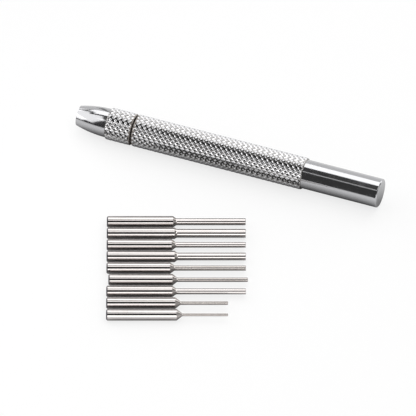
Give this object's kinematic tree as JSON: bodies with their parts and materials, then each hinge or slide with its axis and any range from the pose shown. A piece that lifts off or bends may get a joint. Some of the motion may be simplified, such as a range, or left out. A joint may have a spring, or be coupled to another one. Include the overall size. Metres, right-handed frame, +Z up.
{
  "type": "watch pin punch",
  "caption": "Knurled steel holder whose screw-on nose closes a collet on a pin's shank, with a row of loose stepped punch pins for driving out watch bracelet pins.",
  "frame": {"origin": "middle of the set's box, on the bench that the holder and the pins lie on", "axes": "+X along the holder's axis from the nose to the struck tail, +Z up from the bench, +Y from the row of pins to the holder"},
  "size_m": [0.0882, 0.0714, 0.009],
  "materials": {
    "plated_steel": "turned, knurled and bright plated",
    "spring_steel": "turned, hardened and left bare",
    "ground_steel": "centreless ground"
  },
  "bodies": {
    "barrel": {"barrel": "plated_steel"},
    "collet": {"collet": "spring_steel"},
    "nose_cap": {"nose_cap": "plated_steel"},
    "punch_pin_1": {"punch_pin_1": "ground_steel"},
    "punch_pin_2": {"punch_pin_2": "ground_steel"},
    "punch_pin_3": {"punch_pin_3": "ground_steel"},
    "punch_pin_4": {"punch_pin_4": "ground_steel"},
    "punch_pin_5": {"punch_pin_5": "ground_steel"},
    "punch_pin_6": {"punch_pin_6": "ground_steel"},
    "punch_pin_7": {"punch_pin_7": "ground_steel"},
    "punch_pin_8": {"punch_pin_8": "ground_steel"},
    "punch_pin_9": {"punch_pin_9": "ground_steel"}
  },
  "joints": [
    {"name": "cap_turn", "type": "hinge", "parent": "barrel", "child": "collet", "pos_m": [-0.0361, 0.03118, 0.00449], "axis": [-1, 0, 0], "range_deg": [-48.1, 4080.1]},
    {"name": "cap_advance", "type": "slide", "parent": "collet", "child": "nose_cap", "axis": [-1, 0, 0], "range_m": [-0.0001, 0.0085]},
    {"name": "punch_pin_1_lift", "type": "slide", "parent": "barrel", "child": "punch_pin_1", "axis": [0, 0, 1], "range_m": [0, 0.02]},
    {"name": "punch_pin_2_lift", "type": "slide", "parent": "barrel", "child": "punch_pin_2", "axis": [0, 0, 1], "range_m": [0, 0.02]},
    {"name": "punch_pin_3_lift", "type": "slide", "parent": "barrel", "child": "punch_pin_3", "axis": [0, 0, 1], "range_m": [0, 0.02]},
    {"name": "punch_pin_4_lift", "type": "slide", "parent": "barrel", "child": "punch_pin_4", "axis": [0, 0, 1], "range_m": [0, 0.02]},
    {"name": "punch_pin_5_lift", "type": "slide", "parent": "barrel", "child": "punch_pin_5", "axis": [0, 0, 1], "range_m": [0, 0.02]},
    {"name": "punch_pin_6_lift", "type": "slide", "parent": "barrel", "child": "punch_pin_6", "axis": [0, 0, 1], "range_m": [0, 0.02]},
    {"name": "punch_pin_7_lift", "type": "slide", "parent": "barrel", "child": "punch_pin_7", "axis": [0, 0, 1], "range_m": [0, 0.02]},
    {"name": "punch_pin_8_lift", "type": "slide", "parent": "barrel", "child": "punch_pin_8", "axis": [0, 0, 1], "range_m": [0, 0.02]},
    {"name": "punch_pin_9_lift", "type": "slide", "parent": "barrel", "child": "punch_pin_9", "axis": [0, 0, 1], "range_m": [0, 0.02]}
  ],
  "couplings": [
    {"joint": "cap_turn", "follows": "cap_advance", "rad_per_m": 8377.6}
  ]
}
